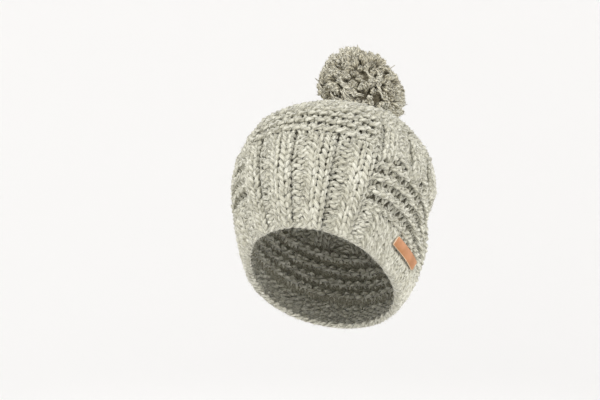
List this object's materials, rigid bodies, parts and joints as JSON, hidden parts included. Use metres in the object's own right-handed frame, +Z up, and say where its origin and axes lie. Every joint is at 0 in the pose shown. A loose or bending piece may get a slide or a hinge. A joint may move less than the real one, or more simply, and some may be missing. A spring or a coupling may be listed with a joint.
{
  "type": "bobble hat",
  "caption": "Chunky knitted wool bobble hat in marled grey, in its worn, tipped-back form, with a pompom on top and a bare leather tag by the rim.",
  "frame": {"origin": "middle of the opening, in the plane of the rim, which is where a head goes in", "axes": "+Z up as worn, -Y the way the wearer faces, +X the wearer's left"},
  "size_m": [0.1951, 0.2405, 0.2798],
  "materials": {
    "wool_knit": "chunky marled wool, hand-knitted in ribs, garter ridges and rounds",
    "pompom_yarn": "cut ends of the same marled wool",
    "tan_leather": "bare tan leather with raw cut edges"
  },
  "bodies": {
    "root": {"crown": "wool_knit", "pompom": "pompom_yarn", "leather_tag": "tan_leather"}
  },
  "joints": []
}
